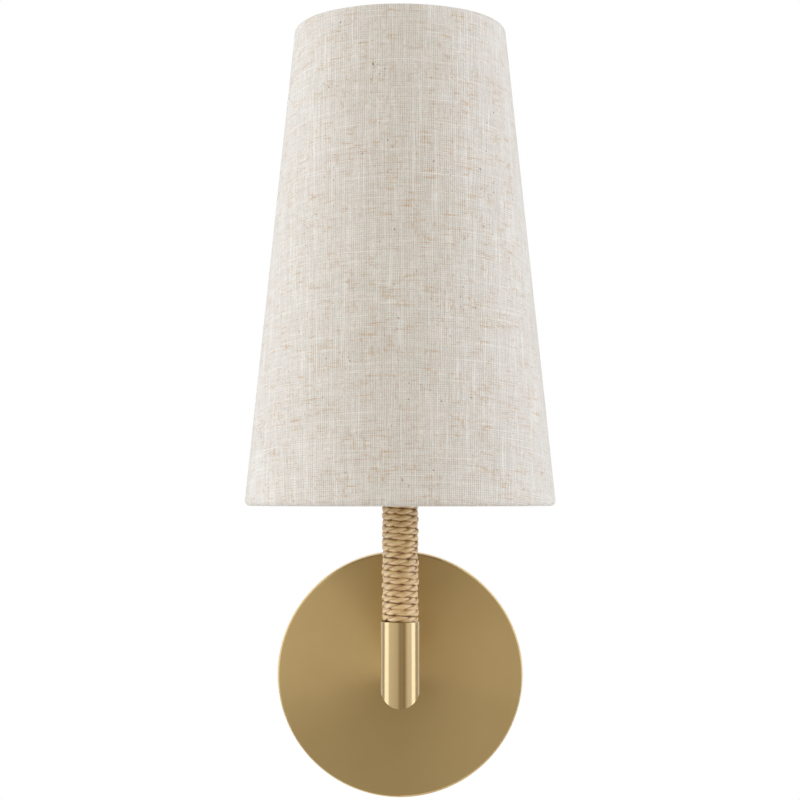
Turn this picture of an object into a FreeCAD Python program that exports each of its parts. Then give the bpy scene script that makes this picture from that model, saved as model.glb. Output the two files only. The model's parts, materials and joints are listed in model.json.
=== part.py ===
import FreeCAD, Part
import math
import os

# Fabric shade wall light, in millimetres. The origin is on the wall, at the centre of the round
# canopy's back. +Z is up, +X is to the right and +Y goes into the wall, so the light stands out
# along -Y. The shade, the lamp and the rope-wound stem share one upright axis in front of the canopy.

V = FreeCAD.Vector
X_WAY, Y_WAY, Z_WAY = V(1, 0, 0), V(0, 1, 0), V(0, 0, 1)

# ---- driving dimensions ----------------------------------------------------------------------

# clearances
FIT = 0.05                # radial, in brazed, screwed and cemented fits
SEAT_GAP = 0.2            # between flat faces of parts that turn on each other
HOLE_ROOM = 0.15          # radial, a screw in a plain hole

# canopy
CANOPY_D = 127.0
CANOPY_DEPTH = 25.0
CANOPY_WALL = 1.2
CANOPY_EDGE_R = 1.0

# mounting strap
STRAP_WIDTH = 18.0
STRAP_THICK = 2.0
STRAP_BEND_R = 3.0
STRAP_TAB_REACH = 14.0    # how far the bent ends stand off the wall
STRAP_TAB_ROOM = 0.3      # from a tab's corners to the canopy
BOX_SCREW_SPACING = 79.4  # centres of the wall box's screw holes
BOX_SLOT_LENGTH = 24.0
BOX_SLOT_WIDTH = 4.8
STRAP_CENTRE_HOLE_D = 12.0
GROUND_X = -17.0
GROUND_BOSS_D = 7.5
GROUND_BOSS_HEIGHT = 3.0

# screws
SCREW_D = 4.0
CANOPY_SCREW_LENGTH = 8.0
CANOPY_SCREW_Y = -9.0
CANOPY_SCREW_SUNK = 0.3   # below the canopy's side
SCREW_SLOT_WIDTH = 0.7
SCREW_SLOT_DEPTH = 1.0
SCREW_HEAD_D = 8.0
SCREW_HEAD_HEIGHT = 2.4

# arm
ARM_REACH = 60.0          # canopy face to the upright axis
ARM_D = 19.3
ARM_WALL = 0.75
ARM_LEG = 32.0            # mitre centre to the upright leg's mouth
ARM_MOUTH_EDGE_R = 0.3

# threaded tubes and what is on them
NIPPLE_D = 10.0
NIPPLE_BORE_D = 7.0
ARM_BUSH_LENGTH = 9.0
ARM_NIPPLE_INSIDE = 12.0  # behind the canopy's face
ARM_WASHER_D = 32.0
ARM_WASHER_THICK = 1.5
LOCK_WASHER_D = 17.0
LOCK_WASHER_THICK = 0.8
LOCK_WASHER_TEETH = 8
NUT_ACROSS_FLATS = 14.0
NUT_HEIGHT = 4.5

# stem and its winding
STEM_D = 12.7
STEM_BUSH_LENGTH = 14.0
STEM_BUSH_SUNK = 5.5      # below the leg's mouth
ROPE_D = 2.4
ROPE_PITCH = 3.05
ROPE_TURNS = 21
ROPE_BEND_R = 3.0         # where the rope turns up at each end
SOCKET_NIPPLE_IN_STEM = 9.0
SOCKET_NIPPLE_PROUD = 1.0 # above the holder's floor

# lamp holder
CAP_NECK_D = 19.0
CAP_NECK_HEIGHT = 2.6
CAP_FLOOR = 3.5
CAP_D = 40.0
CAP_HEIGHT = 17.6
CAP_WALL = 1.4
CAP_SEAT_DEPTH = 8.5      # from the cap's rim down to the core's seat
CORE_SEAT_WIDTH = 1.8
CORE_FLANGE_THICK = 2.3
CORE_FOOT_D = 29.0
CORE_FOOT_DEPTH = 1.6
CORE_RISE = 13.5          # core's top above its seat
TERMINAL_X = 8.0
TERMINAL_HEAD_D = 5.0
TERMINAL_HEAD_HEIGHT = 1.8
TERMINAL_SHANK_D = 3.0
TERMINAL_SHANK = 5.0
SKIRT_FLANGE_D = 43.0
SKIRT_FLANGE_THICK = 2.5
SKIRT_THREAD_D = 36.0
SKIRT_BORE_D = 33.2
SKIRT_HEIGHT = 30.0       # above the flange
SKIRT_LIP = 2.2
SHELL_BORE_D = 26.7
SHELL_WALL = 0.4
SHELL_HEIGHT = 25.0
SHELL_LIP = 2.3
CONTACT_WIDTH = 5.0
CONTACT_THICK = 0.5
CONTACT_RISE = 2.1
CONTACT_FOOT = 5.0
CONTACT_REACH = 9.0
RING_HEIGHT = 7.5
RING_D = 47.0
RING_GRIPS = 12
RING_GRIP_R = 2.0
RING_GRIP_DEPTH = 0.9
RING_PLAY = 0.06          # radial, on the skirt's thread

# shade
SHADE_BOTTOM_D = 150.0
SHADE_TOP_D = 102.0
SHADE_HEIGHT = 230.0
SHADE_RECESS = 33.7       # shade's bottom edge up to the fitter's underside
FABRIC_THICK = 0.8
LINING_THICK = 0.5
HOOP_WIRE_D = 3.0
HEM_FLAP = 12.0
HEM_SLOPE = 6.0
SEAM_WIDTH = 9.0
SEAM_RISE = 0.6
FITTER_RING_D = 52.0
FITTER_RING_THICK = 1.5
FITTER_RING_PLAY = 0.3    # radial, round the skirt's thread
FITTER_SPOKES = 3
SPOKE_FLAT = 5.0          # level run beside the ring
SPOKE_BEND_R = 8.0
SPOKE_SLIT = 0.3          # round a spoke, where it passes through the hem
SPOKE_SLIT_STOP = 0.3     # short of the hoop's middle

# lamp
LAMP_D = 60.0
LAMP_LENGTH = 108.0
LAMP_GLASS = 1.0
LAMP_TAPER_DEG = 40.0
LAMP_NECK_D = 27.2
LAMP_NECK_BLEND_R = 25.0
LAMP_CAP_D = 26.1
LAMP_CAP_WALL = 0.4
LAMP_CAP_LENGTH = 20.0
LAMP_FOOT_HEIGHT = 3.6
LAMP_FOOT_D = 11.0
LAMP_CONTACT_D = 9.0
LAMP_CONTACT_HEIGHT = 1.0
LAMP_GAP = 0.3            # lamp's foot to the centre contact
LAMP_STUB = 7.0           # neck inside the cap

# ---- what follows from them --------------------------------------------------------------------

CANOPY_R = CANOPY_D / 2
CANOPY_INNER_R = CANOPY_R - CANOPY_WALL
CANOPY_FACE_Y = -CANOPY_DEPTH
CANOPY_INSIDE_Y = CANOPY_FACE_Y + CANOPY_WALL
SCREW_R = SCREW_D / 2
STRAP_TAB_X = math.sqrt(CANOPY_INNER_R ** 2 - (STRAP_WIDTH / 2) ** 2) - STRAP_TAB_ROOM

AXIS_Y = CANOPY_FACE_Y - ARM_REACH
AXIS = V(0, AXIS_Y, 0)
ARM_R = ARM_D / 2
ARM_BORE_R = ARM_R - ARM_WALL
NIPPLE_R = NIPPLE_D / 2
NIPPLE_BORE_R = NIPPLE_BORE_D / 2
THREAD_R = NIPPLE_R + FIT

STEM_R = STEM_D / 2
ROPE_R = ROPE_D / 2
WRAP_R = STEM_R + FIT + ROPE_R
BUSH_TOP = ARM_LEG - STEM_BUSH_SUNK
BUSH_FOOT = BUSH_TOP - STEM_BUSH_LENGTH
ROPE_LEAN = math.atan2(ROPE_PITCH, 2 * math.pi * WRAP_R)
ROPE_BEND_RISE = ROPE_BEND_R * math.cos(ROPE_LEAN)
HELIX_FOOT = BUSH_TOP + ROPE_D + ROPE_BEND_RISE
HELIX_TOP = HELIX_FOOT + ROPE_PITCH * ROPE_TURNS
CAP_FOOT = HELIX_TOP + ROPE_BEND_RISE + ROPE_D

CAP_RIM = CAP_FOOT + CAP_HEIGHT
CORE_SEAT = CAP_RIM - CAP_SEAT_DEPTH
CAP_INNER_R = CAP_D / 2 - CAP_WALL
CORE_TOP = CORE_SEAT + CORE_RISE
SKIRT_SEAT = CAP_RIM + SKIRT_FLANGE_THICK
SKIRT_TOP = SKIRT_SEAT + SKIRT_HEIGHT
SKIRT_R = SKIRT_THREAD_D / 2
SHELL_R = SHELL_BORE_D / 2
CONTACT_TOP = CORE_TOP + CONTACT_RISE

FITTER_Z = SKIRT_SEAT + SEAT_GAP
FITTER_TOP = FITTER_Z + FITTER_RING_THICK
RING_Z = FITTER_TOP + SEAT_GAP

SHADE_FOOT = FITTER_Z - SHADE_RECESS
SHADE_TOP = SHADE_FOOT + SHADE_HEIGHT
HOOP_R = HOOP_WIRE_D / 2
HEM_INNER = HOOP_R + FIT
HEM_OUTER = HEM_INNER + FABRIC_THICK
HOOP_LOW = V(SHADE_BOTTOM_D / 2 - HEM_OUTER, 0, SHADE_FOOT + HEM_OUTER)
HOOP_HIGH = V(SHADE_TOP_D / 2 - HEM_OUTER, 0, SHADE_TOP - HEM_OUTER)
SLANT = (HOOP_HIGH - HOOP_LOW).Length
UP_SHADE = (HOOP_HIGH - HOOP_LOW) / SLANT
OUT_OF_SHADE = V(UP_SHADE.z, 0, -UP_SHADE.x)

LAMP_R = LAMP_D / 2
LAMP_FOOT_Z = CONTACT_TOP + LAMP_GAP
LAMP_TOP = LAMP_FOOT_Z + LAMP_LENGTH
LAMP_CAP_Z = LAMP_FOOT_Z + LAMP_CONTACT_HEIGHT + LAMP_FOOT_HEIGHT
LAMP_CAP_TOP = LAMP_CAP_Z + LAMP_CAP_LENGTH

# ---- outlines and solids -----------------------------------------------------------------------


def rounded(corners):
    """A closed outline through corners (point, radius), each rounded by an arc tangent to its sides."""
    edges = []
    entries = []
    for number, (point, radius) in enumerate(corners):
        to_last = (corners[number - 1][0] - point).normalize()
        to_next = (corners[(number + 1) % len(corners)][0] - point).normalize()
        if not radius:
            entries.append((point, None, point))
            continue
        half = to_last.getAngle(to_next) / 2
        middle_way = (to_last + to_next).normalize()
        centre = point + middle_way * (radius / math.sin(half))
        reach = radius / math.tan(half)
        entries.append((point + to_last * reach, centre - middle_way * radius, point + to_next * reach))
    for number, (start, middle, end) in enumerate(entries):
        if middle:
            edges.append(Part.Arc(start, middle, end).toShape())
        after = entries[(number + 1) % len(entries)][0]
        if (after - end).Length > 1e-6:
            edges.append(Part.LineSegment(end, after).toShape())
    return Part.Face(Part.Wire(edges))


def corners_in(point_of, rows):
    """Corners for rounded() from rows (a, b) or (a, b, radius)."""
    return [(point_of(row[0], row[1]), row[2] if len(row) > 2 else 0) for row in rows]


def turned(*rows, sweep=360.0):
    """A solid turned about the upright axis, from rows (radius, z) or (radius, z, rounding)."""
    face = rounded(corners_in(lambda r, z: V(r, AXIS_Y, z), rows))
    return face.revolve(AXIS, Z_WAY, sweep)


def turned_on_wall(*rows):
    """A solid turned about the canopy's axis, from rows (radius, y) or (radius, y, rounding)."""
    face = rounded(corners_in(lambda r, y: V(r, y, 0), rows))
    return face.revolve(V(0, 0, 0), Y_WAY, 360.0)


def sleeve(outer, inner, foot, top):
    """A plain tube on the upright axis."""
    return turned((inner, foot), (outer, foot), (outer, top), (inner, top))


def sleeve_on_wall(outer, inner, front, back):
    """A plain tube on the canopy's axis."""
    return turned_on_wall((inner, front), (outer, front), (outer, back), (inner, back))


def rod(radius, start, end):
    return Part.makeCylinder(radius, (end - start).Length, start, end - start)


def around(shape, centre, way, count):
    """Copies of a shape spaced evenly round an axis."""
    copies = []
    for number in range(count):
        copy = shape.copy()
        copy.rotate(centre, way, 360.0 * number / count)
        copies.append(copy)
    return copies


# ---- canopy and wall fixing ----------------------------------------------------------------------


def make_canopy():
    """Spun cup with a flat face, open to the wall, with a hole for the arm and one at each side."""
    cup = turned_on_wall(
        (NIPPLE_R + HOLE_ROOM, CANOPY_FACE_Y),
        (CANOPY_R, CANOPY_FACE_Y, CANOPY_EDGE_R),
        (CANOPY_R, 0),
        (CANOPY_INNER_R, 0),
        (CANOPY_INNER_R, CANOPY_INSIDE_Y),
        (NIPPLE_R + HOLE_ROOM, CANOPY_INSIDE_Y),
    )
    side_holes = rod(SCREW_R + HOLE_ROOM, V(-CANOPY_D, CANOPY_SCREW_Y, 0), V(CANOPY_D, CANOPY_SCREW_Y, 0))
    return cup.cut(side_holes)


def make_strap():
    """Crossbar with bent ends, two slots, a wire hole and a drawn boss for the earth screw."""
    inner_bend = STRAP_BEND_R - STRAP_THICK
    inner_x = STRAP_TAB_X - STRAP_THICK
    rows = [
        (-STRAP_TAB_X, -STRAP_TAB_REACH),
        (-STRAP_TAB_X, 0, STRAP_BEND_R),
        (STRAP_TAB_X, 0, STRAP_BEND_R),
        (STRAP_TAB_X, -STRAP_TAB_REACH),
        (inner_x, -STRAP_TAB_REACH),
        (inner_x, -STRAP_THICK, inner_bend),
        (-inner_x, -STRAP_THICK, inner_bend),
        (-inner_x, -STRAP_TAB_REACH),
    ]
    section = rounded(corners_in(lambda x, y: V(x, y, -STRAP_WIDTH / 2), rows))
    bar = section.extrude(Z_WAY * STRAP_WIDTH)
    boss_front = -(STRAP_THICK + GROUND_BOSS_HEIGHT)
    bar = bar.fuse(rod(GROUND_BOSS_D / 2, V(GROUND_X, -STRAP_THICK / 2, 0), V(GROUND_X, boss_front, 0)))
    cuts = [
        rod(STRAP_CENTRE_HOLE_D / 2, V(0, -STRAP_TAB_REACH, 0), V(0, STRAP_THICK, 0)),
        rod(SCREW_R + FIT, V(GROUND_X, -STRAP_TAB_REACH, 0), V(GROUND_X, STRAP_THICK, 0)),
        rod(SCREW_R + FIT, V(-CANOPY_D, CANOPY_SCREW_Y, 0), V(CANOPY_D, CANOPY_SCREW_Y, 0)),
    ]
    slot_r = BOX_SLOT_WIDTH / 2
    for side in (-1, 1):
        ends = []
        for shift in (-1, 1):
            x = side * BOX_SCREW_SPACING / 2 + shift * (BOX_SLOT_LENGTH / 2 - slot_r)
            ends.append(V(x, -STRAP_TAB_REACH / 2, 0))
            cuts.append(rod(slot_r, ends[-1], ends[-1] + Y_WAY * STRAP_TAB_REACH))
        run = ends[1] - ends[0]
        cuts.append(Part.makeBox(run.x, STRAP_TAB_REACH, BOX_SLOT_WIDTH, ends[0] - Z_WAY * slot_r))
    return bar.cut(cuts).removeSplitter()


def make_canopy_screws():
    """Slotted set screws through the canopy's side into the strap's ends."""
    outer = CANOPY_R - CANOPY_SCREW_SUNK
    screws = []
    for side in (-1, 1):
        start = V(side * outer, CANOPY_SCREW_Y, 0)
        screw = rod(SCREW_R, start, start - X_WAY * side * CANOPY_SCREW_LENGTH)
        corner = start - V(SCREW_SLOT_DEPTH, SCREW_SLOT_WIDTH / 2, SCREW_D)
        slot = Part.makeBox(2 * SCREW_SLOT_DEPTH, SCREW_SLOT_WIDTH, 2 * SCREW_D, corner)
        screws.append(screw.cut(slot))
    return Part.makeCompound(screws)


def make_ground_screw():
    """Pan-head earth screw, its tip flush with the strap's back."""
    seat = -(STRAP_THICK + GROUND_BOSS_HEIGHT)
    head_r = SCREW_HEAD_D / 2
    front = seat - SCREW_HEAD_HEIGHT
    rows = [
        (0, front),
        (head_r, front, SCREW_HEAD_HEIGHT / 2),
        (head_r, seat),
        (SCREW_R, seat),
        (SCREW_R, 0),
        (0, 0),
    ]
    screw = turned_on_wall(*rows)
    slot = Part.makeBox(SCREW_HEAD_D, SCREW_SLOT_DEPTH, SCREW_SLOT_WIDTH,
                        V(-head_r, front, -SCREW_SLOT_WIDTH / 2))
    screw = screw.cut(slot)
    screw.translate(V(GROUND_X, 0, 0))
    return screw


# ---- arm -----------------------------------------------------------------------------------------


def mitred_rod(radius, start_y, top_z):
    """A round bar from start_y along the canopy's axis, mitred at the upright axis and up to top_z."""
    edge = radius + 1.0
    low = V(-edge, AXIS_Y - edge, -edge)
    high = V(-edge, AXIS_Y + edge, edge)
    level_side = [low, high, V(-edge, start_y, edge), V(-edge, start_y, -edge)]
    upright_side = [low, high, V(-edge, AXIS_Y + edge, top_z), V(-edge, AXIS_Y - edge, top_z)]
    level = rod(radius, V(0, start_y, 0), AXIS - Y_WAY * edge)
    upright = rod(radius, AXIS - Z_WAY * edge, AXIS + Z_WAY * top_z)
    halves = []
    for bar, side in ((level, level_side), (upright, upright_side)):
        wedge = Part.Face(Part.makePolygon(side + side[:1])).extrude(X_WAY * 2 * edge)
        halves.append(bar.common(wedge))
    return halves[0].fuse(halves[1])


def make_elbow():
    """Two lengths of tube brazed in a mitre; the upright leg's mouth takes the wound stem."""
    elbow = mitred_rod(ARM_R, CANOPY_FACE_Y, ARM_LEG).cut(mitred_rod(ARM_BORE_R, CANOPY_FACE_Y, ARM_LEG))
    mouth = [edge for edge in elbow.Edges
             if abs(edge.BoundBox.ZMin - ARM_LEG) < 1e-4 and edge.Length > math.pi * (ARM_R + ARM_BORE_R)]
    return elbow.makeFillet(ARM_MOUTH_EDGE_R, mouth)


def make_arm_bush():
    return sleeve_on_wall(ARM_BORE_R - FIT, THREAD_R, CANOPY_FACE_Y - ARM_BUSH_LENGTH, CANOPY_FACE_Y)


def make_arm_nipple():
    start = CANOPY_FACE_Y - ARM_BUSH_LENGTH
    return sleeve_on_wall(NIPPLE_R, NIPPLE_BORE_R, start, CANOPY_INSIDE_Y + ARM_NIPPLE_INSIDE)


def make_arm_washer():
    hole = NIPPLE_R + HOLE_ROOM
    return sleeve_on_wall(ARM_WASHER_D / 2, hole, CANOPY_INSIDE_Y, CANOPY_INSIDE_Y + ARM_WASHER_THICK)


def make_arm_lock_washer():
    """Washer with a notched rim."""
    front = CANOPY_INSIDE_Y + ARM_WASHER_THICK
    back = front + LOCK_WASHER_THICK
    outer = LOCK_WASHER_D / 2
    washer = sleeve_on_wall(outer, NIPPLE_R + HOLE_ROOM, front, back)
    notch_r = math.pi * outer / LOCK_WASHER_TEETH / 2
    notch = rod(notch_r, V(outer, front - 1, 0), V(outer, back + 1, 0))
    return washer.cut(around(notch, V(0, 0, 0), Y_WAY, LOCK_WASHER_TEETH))


def make_arm_nut():
    """Hexagon nut with its corners turned off."""
    front = CANOPY_INSIDE_Y + ARM_WASHER_THICK + LOCK_WASHER_THICK
    corner_r = NUT_ACROSS_FLATS / math.sqrt(3)
    corners = []
    for number in range(6):
        angle = math.radians(60 * number)
        corners.append(V(corner_r * math.cos(angle), front, corner_r * math.sin(angle)))
    block = Part.Face(Part.makePolygon(corners + corners[:1])).extrude(Y_WAY * NUT_HEIGHT)
    chamfer = corner_r - NUT_ACROSS_FLATS / 2
    blank = turned_on_wall(
        (THREAD_R, front),
        (corner_r, front),
        (corner_r, front + NUT_HEIGHT - chamfer),
        (NUT_ACROSS_FLATS / 2, front + NUT_HEIGHT),
        (THREAD_R, front + NUT_HEIGHT),
    )
    return block.common(blank)


# ---- stem and rope -------------------------------------------------------------------------------


def make_stem_bush():
    return sleeve(ARM_BORE_R - FIT, STEM_R + FIT, BUSH_FOOT, BUSH_TOP)


def make_stem_tube():
    return sleeve(STEM_R, THREAD_R, BUSH_FOOT, CAP_FOOT)


def make_socket_nipple():
    top = CAP_FOOT + CAP_FLOOR + SOCKET_NIPPLE_PROUD
    return sleeve(NIPPLE_R, NIPPLE_BORE_R, CAP_FOOT - SOCKET_NIPPLE_IN_STEM, top)


def rope_point(turn, height, rise):
    """A point of the rope's centreline and its direction, from its turn about the axis in radians
    and the angle at which it rises."""
    point = V(WRAP_R * math.sin(turn), AXIS_Y + WRAP_R * math.cos(turn), height)
    round_way = V(math.cos(turn), -math.sin(turn), 0)
    return point, round_way * math.cos(rise) + Z_WAY * math.sin(rise)


def rope_route():
    """Points and directions along the wound rope: a bend round from the upright, the turns by
    quarters, and a bend back. Seen from above, the rope climbs clockwise."""
    bend_steps = 3
    bend_turn = ROPE_BEND_R * (1 - math.sin(ROPE_LEAN)) / WRAP_R
    winding = 2 * math.pi * ROPE_TURNS
    route = []
    for step in range(bend_steps):
        rise = math.pi / 2 - (math.pi / 2 - ROPE_LEAN) * step / bend_steps
        turn = ROPE_BEND_R * (1 - math.sin(rise)) / WRAP_R - bend_turn
        height = HELIX_FOOT - ROPE_BEND_RISE + ROPE_BEND_R * math.cos(rise)
        route.append(rope_point(turn, height, rise))
    for quarter in range(4 * ROPE_TURNS + 1):
        turn = math.pi / 2 * quarter
        route.append(rope_point(turn, HELIX_FOOT + ROPE_PITCH * quarter / 4, ROPE_LEAN))
    for step in range(bend_steps):
        rise = ROPE_LEAN + (math.pi / 2 - ROPE_LEAN) * (step + 1) / bend_steps
        turn = winding + bend_turn - ROPE_BEND_R * (1 - math.sin(rise)) / WRAP_R
        height = HELIX_TOP + ROPE_BEND_RISE - ROPE_BEND_R * math.cos(rise)
        route.append(rope_point(turn, height, rise))
    return route


def arc_between(start, corner, end):
    """The arc from start to end whose end tangents meet at corner."""
    chord_middle = (start + end) / 2
    half_chord = (end - start).Length / 2
    to_corner = corner - chord_middle
    bulge = half_chord * math.tan(math.atan2(to_corner.Length, half_chord) / 2)
    return Part.Arc(start, chord_middle + to_corner.normalize() * bulge, end).toShape()


def biarc(start, start_way, end, end_way):
    """Two arcs that join start to end, each tangent to the other and to the way given at its end."""
    run = end - start
    ways = start_way + end_way
    square = ways.dot(ways) - 4
    linear = -2 * run.dot(ways)
    length = (-linear - math.sqrt(linear ** 2 - 4 * square * run.dot(run))) / (2 * square)
    start_corner = start + start_way * length
    end_corner = end - end_way * length
    joint = (start_corner + end_corner) / 2
    return [arc_between(start, start_corner, joint), arc_between(joint, end_corner, end)]


def print_rope_figures(arcs):
    """Prints the rope's length, its tightest bend and its least gap to itself, measured on points."""
    step = ROPE_D / 4
    points = []
    for arc in arcs:
        points += arc.discretize(max(3, int(arc.Length / step)))[:-1]
    apart = int(3 * ROPE_D / step)
    near = min((points[i] - points[j]).Length
               for i in range(len(points))
               for j in range(i + apart, min(len(points), i + apart + int(3 * math.pi * WRAP_R / step))))
    length = sum(arc.Length for arc in arcs) + 2 * ROPE_D
    tightest = min(arc.Curve.Radius for arc in arcs)
    print(f"rope: length {length:.1f}, tightest bend {tightest:.2f}, least gap {near - ROPE_D:.2f}")
    return length


def make_rope():
    """One unbroken length of rope wound on the stem, its ends turned up square to bush and cap."""
    route = rope_route()
    arcs = []
    for (start, start_way), (end, end_way) in zip(route, route[1:]):
        arcs += biarc(start, start_way, end, end_way)
    first = route[0][0]
    last = route[-1][0]
    edges = [Part.LineSegment(first - Z_WAY * ROPE_D, first).toShape()]
    edges += arcs
    edges.append(Part.LineSegment(last, last + Z_WAY * ROPE_D).toShape())
    shell = Part.BRepOffsetAPI.MakePipeShell(Part.Wire(edges))
    section = Part.makeCircle(ROPE_R, first - Z_WAY * ROPE_D, Z_WAY)
    shell.add(Part.Wire([section]), False, False)
    shell.build()
    shell.makeSolid()
    rope = shell.shape()
    length = print_rope_figures(arcs)
    print(f"rope: volume over section times length {rope.Volume / (math.pi * ROPE_R ** 2 * length):.4f}")
    return rope


# ---- lamp holder ---------------------------------------------------------------------------------


def make_socket_cap():
    """Domed cap with a tapped neck; the core sits on its inner step and the skirt screws in above."""
    outer = CAP_D / 2
    neck = CAP_NECK_D / 2
    shoulder = CAP_FOOT + CAP_NECK_HEIGHT
    floor = CAP_FOOT + CAP_FLOOR
    seat_r = CAP_INNER_R - CORE_SEAT_WIDTH
    dome_r = (CORE_SEAT - shoulder) * 0.9
    return turned(
        (THREAD_R, CAP_FOOT),
        (neck, CAP_FOOT, FIT * 8),
        (neck, shoulder),
        (outer, shoulder, dome_r),
        (outer, CAP_RIM),
        (CAP_INNER_R, CAP_RIM),
        (CAP_INNER_R, CORE_SEAT),
        (seat_r, CORE_SEAT),
        (seat_r, floor, dome_r - CAP_WALL),
        (THREAD_R, floor),
    )


def make_core():
    """Ceramic core: a flange clamped between cap and skirt, tapped below for the terminal screws."""
    flange = CAP_INNER_R - HOLE_ROOM
    foot = CORE_FOOT_D / 2
    top_r = SKIRT_BORE_D / 2 - HOLE_ROOM
    core = turned(
        (0, CORE_SEAT - CORE_FOOT_DEPTH),
        (foot, CORE_SEAT - CORE_FOOT_DEPTH),
        (foot, CORE_SEAT),
        (flange, CORE_SEAT),
        (flange, CORE_SEAT + CORE_FLANGE_THICK),
        (top_r, CORE_SEAT + CORE_FLANGE_THICK),
        (top_r, CORE_TOP),
        (0, CORE_TOP),
    )
    holes = []
    for side in (-1, 1):
        foot_point = AXIS + V(side * TERMINAL_X, 0, CORE_SEAT - CORE_FOOT_DEPTH)
        holes.append(rod(TERMINAL_SHANK_D / 2 + FIT, foot_point, foot_point + Z_WAY * (TERMINAL_SHANK + 1)))
    return core.cut(holes)


def make_terminal_screws():
    """Two screws up into the core's foot, their heads below it."""
    screws = []
    for side in (-1, 1):
        seat = AXIS + V(side * TERMINAL_X, 0, CORE_SEAT - CORE_FOOT_DEPTH)
        head = rod(TERMINAL_HEAD_D / 2, seat - Z_WAY * TERMINAL_HEAD_HEIGHT, seat)
        shank = rod(TERMINAL_SHANK_D / 2, seat, seat + Z_WAY * TERMINAL_SHANK)
        slot_corner = seat - V(TERMINAL_HEAD_D / 2, SCREW_SLOT_WIDTH / 2, TERMINAL_HEAD_HEIGHT)
        slot = Part.makeBox(TERMINAL_HEAD_D, SCREW_SLOT_WIDTH, SCREW_SLOT_DEPTH, slot_corner)
        screws.append(head.fuse(shank).cut(slot))
    return Part.makeCompound(screws)


def make_screw_shell():
    """E26 shell with a lip that sits on the core."""
    outer = SHELL_R + SHELL_WALL
    return turned(
        (SHELL_R - SHELL_LIP, CORE_TOP),
        (outer, CORE_TOP, 2 * SHELL_WALL),
        (outer, CORE_TOP + SHELL_HEIGHT),
        (SHELL_R, CORE_TOP + SHELL_HEIGHT),
        (SHELL_R, CORE_TOP + SHELL_WALL, SHELL_WALL),
        (SHELL_R - SHELL_LIP, CORE_TOP + SHELL_WALL),
    )


def make_centre_contact():
    """Sprung brass tongue, flat on the core at one end and raised under the lamp at the other."""
    foot = -CONTACT_REACH
    heel = foot + CONTACT_FOOT
    tip = CONTACT_WIDTH / 2
    rows = [
        (foot, CORE_TOP),
        (heel, CORE_TOP, CONTACT_THICK),
        (-CONTACT_THICK, CONTACT_TOP - CONTACT_THICK, CONTACT_THICK),
        (tip, CONTACT_TOP - CONTACT_THICK),
        (tip, CONTACT_TOP),
        (-CONTACT_THICK, CONTACT_TOP, CONTACT_THICK),
        (heel, CORE_TOP + CONTACT_THICK, CONTACT_THICK),
        (foot, CORE_TOP + CONTACT_THICK),
    ]
    face = rounded(corners_in(lambda x, z: V(x, AXIS_Y - CONTACT_WIDTH / 2, z), rows))
    return face.extrude(Y_WAY * CONTACT_WIDTH)


def make_skirt():
    """Threaded sleeve with the seat that carries the shade, its spigot screwed into the cap."""
    bore = SKIRT_BORE_D / 2
    spigot = CAP_INNER_R - FIT
    flange = SKIRT_FLANGE_D / 2
    lip_r = bore - SKIRT_LIP
    core_clamp = CORE_SEAT + CORE_FLANGE_THICK
    lip_z = SKIRT_TOP - (SKIRT_R - bore)
    return turned(
        (bore, core_clamp),
        (spigot, core_clamp),
        (spigot, CAP_RIM),
        (flange, CAP_RIM),
        (flange, SKIRT_SEAT),
        (SKIRT_R, SKIRT_SEAT),
        (SKIRT_R, SKIRT_TOP, SKIRT_R - bore),
        (lip_r, SKIRT_TOP),
        (lip_r, lip_z),
        (bore, lip_z),
    )


def make_retaining_ring():
    """Threaded ring with scalloped grips that clamps the shade's fitter on the skirt."""
    outer = RING_D / 2
    ring = turned(
        (SKIRT_R + RING_PLAY, RING_Z),
        (outer, RING_Z),
        (outer, RING_Z + RING_HEIGHT, RING_GRIP_DEPTH),
        (SKIRT_R + RING_PLAY, RING_Z + RING_HEIGHT),
    )
    centre = AXIS + X_WAY * (outer + RING_GRIP_R - RING_GRIP_DEPTH)
    groove = rod(RING_GRIP_R, centre + Z_WAY * (RING_Z - 1), centre + Z_WAY * (RING_Z + RING_HEIGHT + 1))
    return ring.cut(around(groove, AXIS, Z_WAY, RING_GRIPS))


# ---- shade ---------------------------------------------------------------------------------------


def on_shade(out, up):
    """A point of the shade's section: out from the line between the hoops, up from the lower hoop."""
    point = HOOP_LOW + OUT_OF_SHADE * out + UP_SHADE * up
    return point + AXIS


def hem_tangent(radius, point_out, point_up):
    """Where a line from a point on the flap touches a circle round the hoop, on its inner side."""
    distance = math.hypot(point_out, point_up)
    angle = math.atan2(point_up, point_out) + math.acos(radius / distance)
    return radius * math.cos(angle), radius * math.sin(angle)


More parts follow.
